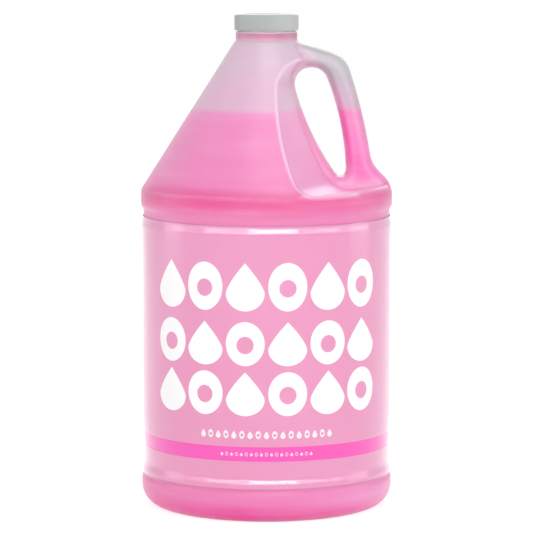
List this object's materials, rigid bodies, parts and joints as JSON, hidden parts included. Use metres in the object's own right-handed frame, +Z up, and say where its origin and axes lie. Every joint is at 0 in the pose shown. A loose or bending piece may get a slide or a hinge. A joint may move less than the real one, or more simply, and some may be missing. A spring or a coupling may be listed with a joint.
{
  "type": "one gallon soap jug",
  "caption": "Round blow-moulded jug with a handle hole in its cone shoulder, a screw cap with liner, a wrap label and pink liquid soap inside.",
  "frame": {"origin": "on the jug's axis, in the plane it stands on", "axes": "+Z up along the jug's axis, +X towards the handle"},
  "size_m": [0.1542, 0.1542, 0.3022],
  "materials": {
    "jug_plastic": "milky natural polyethylene, soft gloss",
    "soap": "pink liquid",
    "label_film": "printed film, soft gloss",
    "liner_foam": "white foam",
    "cap_plastic": "grey moulded plastic, satin"
  },
  "bodies": {
    "jug": {"jug": "jug_plastic", "liquid_soap": "soap", "wrap_label": "label_film"},
    "liner": {"cap_liner": "liner_foam"},
    "cap": {"screw_cap": "cap_plastic"}
  },
  "joints": [
    {"name": "cap_lift", "type": "slide", "parent": "jug", "child": "liner", "axis": [0, 0, 1], "range_m": [0, 0.00636]},
    {"name": "cap_turn", "type": "hinge", "parent": "liner", "child": "cap", "pos_m": [0, 0, 0.2972], "axis": [0, 0, 1], "range_deg": [0, 540]}
  ],
  "couplings": [
    {"joint": "cap_lift", "follows": "cap_turn", "m_per_rad": 0.00067376}
  ]
}
